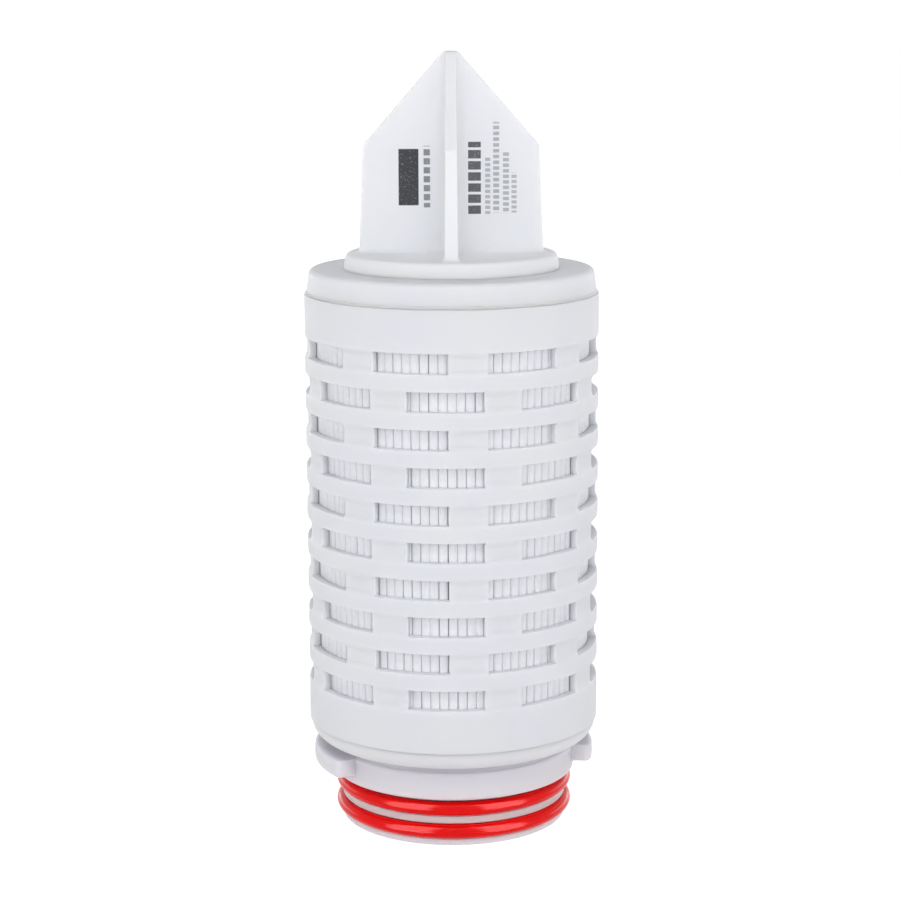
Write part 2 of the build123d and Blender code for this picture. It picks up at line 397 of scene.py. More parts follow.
@dataclass(frozen=True)
class MouldedPlastic:
    """Natural polypropylene from the mould: milky, satin, faintly clouded and grained."""

    name: str
    colour: Colour
    cloud_colour: Colour
    roughness: float = 0.5
    grain: float = 2.0e-6
    flow: float = 6.0e-6
    subsurface: float = 0.75
    gloss: float = 0.15
    depth: float = 0.0025
    bars: tuple[PrintedBar, ...] = ()
    ink: Colour = shade(0.075, 0.078, 0.085)

    def material(self) -> bpy.types.Material:
        """Builds the material: clouds in the colour, flow lines along Z and a fine grain."""
        graph = Graph(self.name)
        place = graph.place()
        colour = graph.clouded(55, 2, 0.35, 0.7, self.colour, self.cloud_colour)
        satin, dull = self.roughness - 0.05, self.roughness + 0.06
        rough = graph.ramp(graph.noise(place, 420, 4), 0.3, 0.7, satin, dull)
        if self.bars:
            colour = graph.blend(self.print_cover(graph, place), colour, self.ink)
        grain = graph.bump(graph.noise(place, 5200, 2), self.grain)
        flow = graph.noise(graph.stretched((1, 1, 0.12)), 380, 3)
        return graph.dressed(
            Base_Color=colour,
            Roughness=rough,
            Normal=graph.bump(flow, self.flow, Normal=grain),
            IOR=1.49,
            Specular_IOR_Level=self.gloss,
            Subsurface_Weight=self.subsurface,
            Subsurface_Scale=self.depth,
            Subsurface_Radius=(1.0, 1.0, 1.1),
        )

    def print_cover(self, graph: Graph, place: Socket) -> Socket:
        """Gives 1 where the bars of print lie on the front face, with slightly worn edges.

        A bar covers a point where both |x - middle| and |z - middle| are within its half sizes.
        """
        edge = 0.06 * MM
        axes = graph.add("ShaderNodeSeparateXYZ", Vector=place)
        front = graph.math("LESS_THAN", axes.outputs["Y"], -1.0 * MM)
        wear = graph.ramp(graph.noise(place, 2600, 2), 0.28, 0.42, 0.72, 1.0)
        total: object = 0.0
        for bar in self.bars:
            cover: object = bar.density
            for axis, middle, half in (("X", bar.x, bar.half_width), ("Z", bar.z, bar.half_height)):
                away = graph.math("ABSOLUTE", graph.math("SUBTRACT", axes.outputs[axis], middle))
                cover = graph.math("MULTIPLY", graph.ramp(away, half + edge, half - edge), cover)
            if bar.dash_pitch:
                along = graph.math("PINGPONG", axes.outputs["Z"], bar.dash_pitch / 2)
                reach = bar.dash_pitch / 2 * bar.dash_share
                cover = graph.math("MULTIPLY", cover, graph.ramp(along, reach + edge, reach - edge))
            total = graph.math("MAXIMUM", total, cover)
        return graph.math("MULTIPLY", graph.math("MULTIPLY", total, front), wear)


@dataclass(frozen=True)
class SealSilicone:
    """Red silicone rubber with a soft gloss, a faint bloom and fine moulding marks."""

    name: str
    colour: Colour = shade(0.73, 0.0006, 0.0008)
    deep_colour: Colour = shade(0.69, 0.0004, 0.0006)

    def material(self) -> bpy.types.Material:
        """Builds the material: two reds in soft clouds under a low, even gloss."""
        graph = Graph(self.name)
        place = graph.place()
        return graph.dressed(
            Base_Color=graph.clouded(160, 3, 0.35, 0.65, self.colour, self.deep_colour),
            Roughness=graph.ramp(graph.noise(place, 900, 3), 0.3, 0.7, 0.16, 0.2),
            Normal=graph.bump(graph.noise(place, 3000, 2), 1.2e-6),
            IOR=1.41,
            Specular_IOR_Level=0.2,
        )


@dataclass(frozen=True)
class TurnedSteel:
    """Stainless steel with the fine rings of a turned face."""

    name: str
    colour: Colour = shade(0.56, 0.55, 0.53)
    stain_colour: Colour = shade(0.47, 0.46, 0.44)

    def material(self) -> bpy.types.Material:
        """Builds the material: noise stretched round Z, so that it reads as tool marks."""
        graph = Graph(self.name)
        rings = graph.noise(graph.stretched((0.04, 0.04, 1)), 9000, 2)
        return graph.dressed(
            Base_Color=graph.clouded(210, 4, 0.4, 0.75, self.colour, self.stain_colour),
            Metallic=1.0,
            Roughness=graph.ramp(rings, 0.3, 0.7, 0.24, 0.36),
            Normal=graph.bump(rings, 3.0e-6),
        )


@dataclass(frozen=True)
class Fleece:
    """Spun-bonded filter fleece: white, matt, with flattened fibres that cross each other."""

    name: str
    colour: Colour = shade(0.82, 0.83, 0.86)
    hollow_colour: Colour = shade(0.79, 0.80, 0.835)
    fibre_depth: float = 0.8e-5

    def material(self) -> bpy.types.Material:
        """Builds the material: two stretched noises for the fibres over a soft mottle."""
        graph = Graph(self.name)
        lengthwise = graph.noise(graph.stretched((1, 1, 0.25)), 4200, 2)
        crosswise = graph.noise(graph.stretched((0.35, 0.35, 1)), 5200, 2)
        fibres = graph.math("MAXIMUM", lengthwise, crosswise)
        return graph.dressed(
            Base_Color=graph.clouded(700, 3, 0.35, 0.65, self.hollow_colour, self.colour),
            Roughness=graph.ramp(fibres, 0.4, 0.75, 0.9, 0.66),
            Normal=graph.bump(fibres, self.fibre_depth),
            IOR=1.45,
            Specular_IOR_Level=0.25,
        )


# Sub-assemblies


@dataclass
class OuterCage:
    """The perforated cage: ten shallow grooves, each pierced by a ring of staggered windows."""

    wall: float = 2.2 * MM
    rows: int = 10
    pitch: float = 8.74 * MM
    top_row: float = 116.35 * MM
    windows: int = 8
    window_width: float = 18.4 * MM
    window_height: float = 4.75 * MM
    first_angle: float = math.radians(28.7)
    stagger: float = math.radians(13.7)
    groove_depth: float = 0.55 * MM
    groove_half: float = 2.75 * MM
    groove_slope: float = 1.35 * MM
    lip: float = 0.55 * MM
    lip_segments: int = 3
    lip_angle: float = math.radians(50)
    edge: float = 0.22 * MM
    spans: tuple[int, int, int, int] = (9, 9, 9, 3)
    outer: float = field(init=False)

    def heights(self, low: float, high: float) -> np.ndarray:
        """Gives the grid's heights, dense over each groove and with a line at each window's edge.

        Args:
            low: Height of the cage's lower end.
            high: Height of its upper end.

        Returns:
            Heights in rising order.
        """
        half = self.window_height / 2
        offsets = np.array([-1.74, -1.46, -1.22, -1, -0.74, -0.45, 0, 0.45, 0.74, 1, 1.22, 1.46, 1.74])
        centres = self.top_row - np.arange(self.rows)[::-1] * self.pitch
        rows = (centres[:, None] + offsets[None, :] * half).ravel()
        ends = self.edge * np.array([0, 0.15, 0.45, 1, 1.6])
        gaps = np.linspace(centres[-1] + half * 1.74, high - ends[-1], 6)[1:-1]
        return np.concatenate([low + ends, rows, gaps, (high - ends)[::-1]])

    def angles(self) -> np.ndarray:
        """Gives the grid's angles, with a line at each side of every window of both row kinds."""
        half = self.window_width / 2 / self.outer
        sides = np.array([-half, self.stagger - half, half, self.stagger + half])
        period = FULL_TURN / self.windows
        ends = np.append(sides, sides[0] + period)
        one = np.concatenate([
            np.linspace(start, end, count, endpoint=False)
            for start, end, count in zip(ends, ends[1:], self.spans)
        ])
        return (self.first_angle + np.arange(self.windows)[:, None] * period + one[None, :]).ravel()

    def open_cells(self, angle: np.ndarray, height: np.ndarray) -> np.ndarray:
        """Tells which cells of the grid lie in a window.

        Args:
            angle: Angle of the middle of each column of cells.
            height: Height of the middle of each row of cells.

        Returns:
            Array of bool, a row for each column of cells.
        """
        row = np.round((self.top_row - height) / self.pitch)
        beside_row = np.abs(self.top_row - row * self.pitch - height)
        in_row = (row >= 0) & (row < self.rows) & (beside_row < self.window_height / 2)
        period = FULL_TURN / self.windows
        turn = angle[:, None] - self.first_angle - (row[None, :] % 2) * self.stagger
        beside_window = np.abs((turn + period / 2) % period - period / 2)
        return in_row[None, :] & (beside_window < self.window_width / 2 / self.outer)

    def surface_radius(self, height: np.ndarray, low: float, high: float) -> np.ndarray:
        """Gives the outer radius at each height.

        It is the full radius less the groove's depth, which rises along a smooth step over the
        groove's slope, and less a quarter circle at each end of the cage.
        """
        row = np.clip(np.round((self.top_row - height) / self.pitch), 0, self.rows - 1)
        beside = np.abs(self.top_row - row * self.pitch - height)
        share = np.clip((self.groove_half - beside) / self.groove_slope, 0, 1)
        dip = self.groove_depth * share * share * (3 - 2 * share)
        end = np.clip(1 - np.minimum(height - low, high - height) / self.edge, 0, 1)
        return self.outer - dip - self.edge * 0.8 * (1 - np.sqrt(1 - end * end))

    def build(self) -> bpy.types.Object:
        """Builds the shell: outer and inner wall, joined by a rim round every opening."""
        low_corner, high_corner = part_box("outer_cage")
        low, high = low_corner.z, high_corner.z
        self.outer = high_corner.x
        angle, height = self.angles(), self.heights(low, high)
        radius = self.surface_radius(height, low, high)
        outside = polar(radius[None, :], angle[:, None], height[None, :]).reshape(-1, 3)
        inside = polar(self.outer - self.wall, angle[:, None], height[None, :]).reshape(-1, 3)
        quads = grid_quads(len(angle), len(height), Wrap.AROUND)
        next_angle = np.roll(angle, -1)
        next_angle[-1] += FULL_TURN
        opened = self.open_cells((angle + next_angle) / 2, (height[1:] + height[:-1]) / 2)
        kept = quads[~opened.ravel()]
        faces = np.vstack([kept, kept[:, ::-1] + len(outside), self.rims(kept, len(outside))])
        used, numbers = np.unique(faces, return_inverse=True)
        points = np.vstack([outside, inside])[used]
        shell = make_piece("cage_shell", points, numbers.reshape(faces.shape))
        bevel = shell.modifiers.new("soft_lips", "BEVEL")
        bevel.width, bevel.segments = self.lip, self.lip_segments
        bevel.limit_method, bevel.angle_limit = "ANGLE", self.lip_angle
        return shell

    @staticmethod
    def rims(kept: np.ndarray, offset: int) -> np.ndarray:
        """Joins the two walls wherever a kept cell has no kept neighbour.

        An edge is a rim where its reverse belongs to no kept cell. The rim's face runs that edge
        backwards on the outer wall and forwards on the inner wall, whose numbers are offset higher.
        """
        start, end = kept.ravel(), np.roll(kept, -1, axis=1).ravel()
        span = offset + 1
        lone = ~np.isin(start * span + end, end * span + start)
        start, end = start[lone], end[lone]
        return np.stack([end, start, start + offset, end + offset], axis=1)


@dataclass
class PleatedPack:
    """Three sheets folded together into a ring of deep pleats, seen through the cage's windows."""

    pleats: int = 96
    crest_radius: float = 32.75 * MM
    root_radius: float = 18.3 * MM
    support: float = 0.15 * MM
    membrane: float = 0.12 * MM
    crest_half: float = 1.035 * MM
    crest_rise: float = 0.4 * MM
    valley_half: float = 0.09 * MM
    shoulder_drop: float = 4.0 * MM
    shoulder_share: float = 0.52
    sway: float = 0.07 * MM
    levels: int = 13
    seed: int = 11

    def fold(self, depth: float, levels: np.ndarray) -> np.ndarray:
        """Gives the folded surface at a depth below the upstream face.

        Each pleat has a valley, two flanks and a crest. The crest is half an ellipse, crest_half
        wide each way and crest_rise high, and the whole pleat leans sideways by a slow wave of
        height, so that no two pleats stand quite alike.

        Args:
            depth: Depth below the upstream face.
            levels: Heights at which the section is taken.

        Returns:
            Array of points, a row for each point round the section.
        """
        thickness = 2 * self.support + self.membrane
        crest_half = self.crest_half - depth
        tip = np.radians([90, 62, 36, 14, 0])
        across = crest_half * np.cos(tip[::-1])
        rise = self.crest_rise * (1 - np.sin(tip[::-1]))
        crest_turn = np.concatenate([-across, across[::-1][1:]]) / self.crest_radius
        crest_r = self.crest_radius - depth - np.concatenate([rise, rise[::-1][1:]])
        valley_r = self.root_radius + thickness - depth
        valley_turn = (self.valley_half + depth) / valley_r
        step = FULL_TURN / self.pleats
        flank_r, flank_turn = self.crest_radius - self.shoulder_drop - depth, self.shoulder_share * step / 2
        side = [step / 2 - valley_turn, flank_turn]
        turn = np.concatenate([np.negative(side), crest_turn, side[::-1]])
        radius = np.concatenate([[valley_r, flank_r], crest_r, [flank_r, valley_r]])
        draws = np.random.default_rng(self.seed)
        phase = draws.uniform(0, FULL_TURN, (self.pleats, 2))
        reach = draws.uniform(0.35, 1.0, (self.pleats, 1)) * self.sway
        lean = reach * (
            np.sin(levels[None, :] * 55 + phase[:, :1]) + 0.5 * np.sin(levels[None, :] * 140 + phase[:, 1:])
        )
        outward = np.clip((radius - valley_r) / (self.crest_radius - valley_r), 0, 1) ** 2
        centre = np.arange(self.pleats)[:, None, None] * step
        angle = centre + turn[None, :, None] + lean[:, None, :] * outward[None, :, None] / self.crest_radius
        points = polar(radius[None, :, None], angle, levels[None, None, :])
        return points.reshape(-1, len(levels), 3)

    def build(self, name: str, node: str, depth: float, thickness: float) -> bpy.types.Object:
        """Builds one sheet: its upper face up, over the end, its lower face down and back.

        Args:
            name: Name of the piece.
            node: Frame node that the sheet stands for.
            depth: Depth of its outer face.
            thickness: Thickness of the sheet.

        Returns:
            The finished sheet.
        """
        low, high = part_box(node)
        levels = np.linspace(low.z, high.z, self.levels)
        outer, inner = self.fold(depth, levels), self.fold(depth + thickness, levels)
        points = np.concatenate([outer, inner[:, ::-1]], axis=1)
        return make_piece(name, points, grid_quads(*points.shape[:2], Wrap.BOTH))


@dataclass
class EndCaps:
    """The closed cap under the fin and the open cap over the spigot, with their welds."""

    spans: int = 256
    top_edge: float = 1.3 * MM
    bead: float = 0.28 * MM
    bottom_corner: float = 4.0 * MM
    plug_clearance: float = 0.1 * MM
    cage_wall: float = 2.2 * MM
    core_wall: float = 2.0 * MM

    def plug(self, cage_radius: float) -> float:
        """Gives the radius of the plug that each cap sends into the cage."""
        return cage_radius - self.cage_wall - self.plug_clearance

    def build_top(self) -> bpy.types.Object:
        """Builds the top cap: a drafted rim with a soft edge over an uneven bead of weld."""
        low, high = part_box("top_end_cap")
        _, cage_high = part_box("outer_cage")
        plug, seam, bead_r = self.plug(cage_high.x), cage_high.z, high.x
        outline = rounded_outline([
            (0, low.z, 0),
            (plug, low.z, 0.2 * MM),
            (plug, seam, 0),
            (bead_r - 0.2 * MM, seam, 0.1 * MM),
            (bead_r, seam + 0.18 * MM, 0.1 * MM),
            (bead_r - 0.1 * MM, seam + 0.42 * MM, 0.1 * MM),
            (bead_r - 0.42 * MM, seam + 0.72 * MM, 0.22 * MM),
            (high.x - 1.1 * MM, high.z, self.top_edge),
            (0, high.z, 0),
        ])
        near_bead = np.exp(-(((outline[:, 1] - seam - 0.2 * MM) / (0.3 * MM)) ** 2)) * (outline[:, 0] > plug)
        uneven = 0.5 * (waves(even_turns(self.spans), (7, 12, 19, 31, 43), 5) - 1.2).clip(-2, 0)
        return turned("top_cap_disc", outline, self.spans, self.bead * uneven[:, None] * near_bead[None, :])

    def build_bottom(self) -> bpy.types.Object:
        """Builds the bottom cap: a bowl-edged disc with a bore for the core and a plug above."""
        low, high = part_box("bottom_end_cap")
        cage_low, cage_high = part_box("outer_cage")
        plug, bore = self.plug(cage_high.x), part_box("inner_core")[1].x - self.core_wall
        outline = rounded_outline([
            (bore, low.z, 0.3 * MM),
            (high.x, low.z, self.bottom_corner),
            (high.x, cage_low.z, 0.08 * MM),
            (plug, cage_low.z, 0),
            (plug, high.z, 0.2 * MM),
            (bore, high.z, 0.3 * MM),
        ], steps=10)
        return turned("bottom_cap_disc", outline, self.spans)


@dataclass
class FinAdapter:
    """The crossed fin with its pointed top, standing on a drafted collar."""

    shoulder: float = 163.3 * MM
    base_half: float = 21.75 * MM
    shoulder_half: float = 20.65 * MM
    tip_half: float = 1.65 * MM
    half_thickness: float = 1.6 * MM
    draft: float = math.tan(math.radians(0.42))
    root: float = 2.2 * MM
    edge: float = 0.35 * MM
    collar_height: float = 3.6 * MM
    collar_draft: float = math.tan(math.radians(9))
    collar_edge: float = 1.3 * MM
    foot: float = 1.2 * MM
    foot_reach: float = 1.5 * MM
    crown: float = 0.5 * MM
    crown_inset: float = 0.4 * MM

    def quadrant(self, half: np.ndarray, thick: np.ndarray) -> np.ndarray:
        """Gives a quarter of the cross section at each level, from the +X end to the +Y end.

        The flank runs along y = thick from a rounded corner at the blade's end to a fillet at the
        root, a quarter circle about (thick + root, thick + root), and the rest is its mirror in
        the line x = y. The fillet shrinks where the blades are too short for it.

        Args:
            half: Half width of the blades at each level.
            thick: Half thickness of the blades at each level.

        Returns:
            Array of points (x, y), a row for each level.
        """
        half, thick = half[:, None], thick[:, None]
        edge = np.minimum(self.edge, 0.45 * thick)
        root = np.minimum(self.root, 0.8 * (half - edge - thick).clip(0.02 * MM))
        turn = np.radians(np.linspace(0, 90, 6))[None, :]
        end_flat = np.linspace(0, 1, 4)[None, :-1]
        corner_x = half - edge * (1 - np.cos(turn))
        corner_y = thick - edge * (1 - np.sin(turn))
        start, stop = half - edge, thick + root
        flank_share = np.array([0.03, 0.12, 0.3, 0.5, 0.7, 0.88, 0.97])[None, :]
        flank_x = start + (stop - start) * flank_share
        root_turn = np.radians(np.linspace(0, 45, 6))[None, :]
        root_x = thick + root * (1 - np.sin(root_turn))
        root_y = thick + root * (1 - np.cos(root_turn))
        zero = np.zeros_like(half)
        x = np.hstack([half + zero * end_flat, corner_x, flank_x, root_x])
        y = np.hstack([(thick - edge) * end_flat, corner_y, thick + 0 * flank_x, root_y])
        first = np.stack([x, y], axis=-1)
        second = first[:, -2:0:-1, ::-1]
        return np.concatenate([first, second], axis=1)

    def section(self, half: np.ndarray, thick: np.ndarray) -> np.ndarray:
        """Repeats the quadrant four times round the axis, each turned by 90 degrees."""
        quarter = self.quadrant(half, thick)
        x, y = quarter[..., 0], quarter[..., 1]
        turns = [(x, y), (-y, x), (-x, -y), (y, -x)]
        return np.concatenate([np.stack(pair, axis=-1) for pair in turns], axis=1)

    def build(self) -> bpy.types.Object:
        """Builds one closed surface: under the collar, round its edge, and up the crossed blades.

        Rings of the collar are circles whose points share their numbers with the cross section,
        so the collar's flat top joins the two, and the fin above is the section carried upwards
        while its blades shorten towards the tip.
        """
        low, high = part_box("fin_adapter")
        collar_top, tip = low.z + self.collar_height, high.z
        radius = high.x
        rim = rounded_outline([
            (0, low.z, 0),
            (radius, low.z, 0),
            (radius - self.collar_height * self.collar_draft, collar_top, self.collar_edge),
            (0, collar_top, 0),
        ])[1:-1]
        foot_turn = np.radians(np.linspace(0, 90, 6))
        foot_height, foot_flare = self.foot * (1 - np.cos(foot_turn)), self.foot * (1 - np.sin(foot_turn))
        straight = np.linspace(collar_top + self.foot, self.shoulder, 10)[1:-1]
        slope = np.concatenate([
            self.shoulder + np.array([-0.25, -0.08, 0.08, 0.3]) * MM,
            np.linspace(self.shoulder, tip, 16)[1:-1],
            tip - np.array([0.5, 0.28, 0.12, 0.03, 0]) * MM,
        ])
        level = np.concatenate([collar_top + foot_height, straight, slope])
        flare = np.concatenate([foot_flare, np.zeros(len(level) - len(foot_flare))])
        rising = np.clip((level - collar_top) / (self.shoulder - collar_top), 0, 1)
        half = self.base_half + (self.shoulder_half - self.base_half) * rising
        pointing = np.clip((level - self.shoulder) / (tip - self.shoulder), 0, 1)
        half = half + (self.tip_half - self.shoulder_half) * pointing
        thick = self.half_thickness - self.draft * (level - low.z)
        crown = np.clip((level - tip + self.crown) / self.crown, 0, 1)
        shrink = self.crown_inset * (1 - np.sqrt(1 - crown**2))
        cross = self.section(half + flare - shrink, thick + flare - shrink)
        count = cross.shape[1]
        circle_angle = even_turns(count)
        circle = np.stack([np.cos(circle_angle), np.sin(circle_angle)], axis=-1)
        rings = circle[None] * rim[:, 0, None, None]
        near_foot = self.section(half[:1] + self.foot_reach, thick[:1] + self.foot_reach)
        pole = np.zeros((1, count, 2))
        flat = np.concatenate([pole, rings, near_foot, cross, pole])
        heights = np.concatenate([[low.z], rim[:, 1], [collar_top], level, [tip]])
        points = np.dstack([flat, np.broadcast_to(heights[:, None], flat.shape[:2])])
        points = points.transpose(1, 0, 2)
        return make_piece("fin_blades", points, grid_quads(count, len(heights), Wrap.AROUND))


@dataclass
class OringAdapter:
    """The spigot: two seal grooves, a flange, two bayonet lugs and the neck to the bottom cap."""

    spigot: float = 27.2 * MM
    spigot_corner: float = 0.9 * MM
    groove_floor: float = 25.17 * MM
    groove_width: float = 3.9 * MM
    seal_heights: tuple[float, float] = (3.6 * MM, 9.25 * MM)
    flange: float = 29.3 * MM
    flange_low: float = 11.9 * MM
    flange_high: float = 18.4 * MM
    flange_edge: float = 0.7 * MM
    neck: float = 28.2 * MM
    neck_step: float = 0.2 * MM
    lug: float = 34.0 * MM
    lug_low: float = 14.2 * MM
    lug_arc: float = math.radians(49)
    lug_centre: float = math.radians(11.9)
    lug_corner: float = 1.9 * MM
    lug_edge: float = 0.9 * MM
    outlet: float = 19.5 * MM
    seat: float = 20.5 * MM
    seat_depth: float = 9.0 * MM

    def below_flange(self) -> np.ndarray:
        """Gives the outline from the sleeve's seat round the nose and up past both grooves."""
        corners = [(self.seat, 0.0, 0.2 * MM), (self.spigot, 0.0, self.spigot_corner)]
        for height in self.seal_heights:
            low, high = height - self.groove_width / 2, height + self.groove_width / 2
            corners += [
                (self.spigot, low, 0.18 * MM),
                (self.groove_floor, low, 0.25 * MM),
                (self.groove_floor, high, 0.25 * MM),
                (self.spigot, high, 0.18 * MM),
            ]
        corners += [(self.spigot, self.flange_low, 0)]
        closing = [(self.seat, self.flange_low, 0)]
        return rounded_outline(corners + closing, steps=4)[:-1]

    def above_flange(self, top: float) -> np.ndarray:
        """Gives the outline from the neck's foot up and down the bore to the sleeve's seat."""
        corners = [
            (self.neck, self.flange_high, 0),
            (self.neck, top, 0),
            (self.outlet, top, 0.2 * MM),
            (self.outlet, self.seat_depth, 0),
            (self.seat, self.seat_depth, 0),
        ]
        closing = [(self.seat, self.flange_high, 0)]
        return rounded_outline(corners + closing, steps=4)[:-1]

    def flange_paths(self) -> tuple[np.ndarray, np.ndarray]:
        """Gives the flange's outline without and with the lug, with as many points in each.

        Both run from the foot of the flange to its top. The second steps out under the lug, round
        its outer face and back, and a point that is on the lug has its twin on the flange's wall.
        """
        low, high, edge, lug_edge = self.flange_low, self.flange_high, self.flange_edge, self.lug_edge
        turn = np.radians(np.linspace(0, 90, 5))
        swing, lift = 1 - np.sin(turn), 1 - np.cos(turn)
        foot = profile(self.flange - edge * swing, low + edge * lift)
        wall = profile(self.flange, np.linspace(low + edge, self.lug_low, 3)[1:-1])
        back = self.neck + self.neck_step
        out = np.concatenate([
            foot,
            wall,
            profile(np.linspace(self.flange, self.lug - lug_edge, 4), self.lug_low),
            profile(self.lug - lug_edge * swing, self.lug_low + lug_edge * lift)[1:],
            profile(self.lug, np.linspace(self.lug_low + lug_edge, high - lug_edge, 4)[1:-1]),
            profile(self.lug - lug_edge * lift, high - lug_edge * swing),
            profile(np.linspace(self.lug - lug_edge, back, 5)[1:], high),
        ])
        on_wall = len(out) - len(foot) - len(wall) - len(turn) - 4
        plain = np.concatenate([
            foot,
            wall,
            profile(self.flange, np.linspace(self.lug_low, high - edge, on_wall + 1)[:-1]),
            profile(self.flange - edge * lift, high - edge * swing),
            profile(np.linspace(self.flange - edge, back, 5)[1:], high),
        ])
        return plain, out

    def lug_share(self, arc: np.ndarray) -> np.ndarray:
        """Gives how far the lug stands out at a distance inside its end, from 0 to 1.

        The lug's end is a quarter of a superellipse in plan: share^3 + (1 - arc / corner)^3 = 1.
        """
        inside = np.clip(arc / self.lug_corner, 0, 1)
        return (1 - (1 - inside) ** 3) ** (1 / 3)

    def angles(self) -> np.ndarray:
        """Gives angles with lines gathered at both ends of each lug."""
        near = self.lug_corner * (1 - np.cos(np.radians(np.linspace(0, 90, 9)))) ** 1.5 / self.lug
        half, beyond = self.lug_arc / 2, self.lug_arc / 2 + 0.15 * MM / self.lug
        inner = np.linspace(-half + near[-1], half - near[-1], 36)[1:-1]
        lug = np.concatenate([[-beyond], -half + near, inner, (half - near)[::-1], [beyond]])
        between = np.linspace(lug[-1], lug[0] + math.pi, 78)[1:-1]
        one = np.concatenate([lug, between]) + self.lug_centre
        return np.concatenate([one, one + math.pi])

    def build(self) -> bpy.types.Object:
        """Builds one closed surface round the axis, whose flange swells into the two lugs.

        At each angle the outline is a mix of the plain flange and the lug, by the lug's share.
        """
        plain, out = self.flange_paths()
        below, above = self.below_flange(), self.above_flange(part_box("oring_adapter")[1].z)
        angle = self.angles()
        from_centre = np.abs((angle - self.lug_centre + math.pi / 2) % math.pi - math.pi / 2)
        share = self.lug_share((self.lug_arc / 2 - from_centre) * self.lug)[:, None, None]
        collar = plain[None] * (1 - share) + out[None] * share
        fixed = [np.broadcast_to(part[None], (len(angle), *part.shape)) for part in (below, above)]
        outline = np.concatenate([fixed[0], collar, fixed[1]], axis=1)
        points = polar(outline[..., 0], angle[:, None], outline[..., 1])
        return make_piece("spigot_body", points, grid_quads(len(angle), outline.shape[1], Wrap.BOTH))


@dataclass
class SealRings:
    """The two O-rings: round cords with the fine line where their mould parted."""

    section: float = 3.53 * MM
    spans: int = 320
    round_points: int = 44
    flash_height: float = 0.02 * MM
    flash_width: float = math.radians(3.5)

    def build(self, name: str, node: str) -> bpy.types.Object:
        """Builds one ring: a circle carried round the axis, raised a little at the parting lines.

        Args:
            name: Name of the piece.
            node: Frame node that it stands for.

        Returns:
            The finished ring.
        """
        low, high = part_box(node)
        middle = (low.z + high.z) / 2
        path = high.x - self.section / 2
        turn = even_turns(self.round_points)
        beside = np.minimum(np.abs(np.sin(turn)), 1)
        flash = self.flash_height * np.exp(-((np.arcsin(beside) / self.flash_width) ** 2))
        reach = self.section / 2 - self.flash_height + flash
        outline = profile(path + reach * np.cos(turn), middle + reach * np.sin(turn))
        return turned(name, outline, self.spans)


# Studio


@dataclass
class SoftBox:
    """A flat lamp that faces the part: its bearing from the camera's side, height and radiance."""

    name: str
    bearing: float
    elevation: float
    radiance: float
    width: float = 1.15
    height: float = 0.34
    distance: float = 1.25
    mirrored: bool = True

    def build(self, target: Vector) -> bpy.types.Object:
        """Places the lamp, with its power worked out from its radiance and area."""
        lamp = bpy.data.lights.new(self.name, "AREA")
        lamp.shape, lamp.size, lamp.size_y = "RECTANGLE", self.width, self.height
        lamp.energy = self.radiance * math.pi * self.width * self.height
        back = Vector(toward(self.bearing, self.elevation))
        box = bpy.data.objects.new(self.name, lamp)
        bpy.context.scene.collection.objects.link(box)
        box.location = target + back * self.distance
        box.rotation_euler = (-back).to_track_quat("-Z", "Y").to_euler()
        box.visible_camera = False
        box.visible_glossy = self.mirrored
        return box


@dataclass
class GleamPanel:
    """A bright curved sheet that shows only in the gloss of the seals and lights nothing."""

    name: str
    bearings: tuple[float, float]
    elevations: tuple[float, float] = (-30, 90)
    radiance: float = 12.5
    distance: float = 1.25
    grid: tuple[int, int] = (7, 15)

    def build(self, target: Vector) -> bpy.types.Object:
        """Builds a patch of a sphere round the target, seen by glossy rays alone.

        A point at a bearing and an elevation lies at distance from the target, in that direction.
        """
        bearing = np.linspace(*self.bearings, self.grid[0])[:, None]
        elevation = np.linspace(*self.elevations, self.grid[1])[None, :]
        points = np.array(target) + self.distance * toward(bearing, elevation)
        panel = make_piece(self.name, points, grid_quads(*self.grid, Wrap.NONE))
        graph = Graph(self.name + "_glow")
        material = graph.finish(graph.add("ShaderNodeEmission", Color=shade(1, 1, 1), Strength=self.radiance))
        material.cycles.emission_sampling = "NONE"
        panel.data.materials.append(material)
        panel.visible_camera = panel.visible_diffuse = panel.visible_transmission = False
        panel.visible_shadow = panel.visible_volume_scatter = False
        receivers = bpy.data.collections.new(self.name + "_receivers")
        for seal in SEALS:
            receivers.objects.link(bpy.data.objects[seal])
        panel.light_linking.receiver_collection = receivers
        panel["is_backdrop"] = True
        return panel


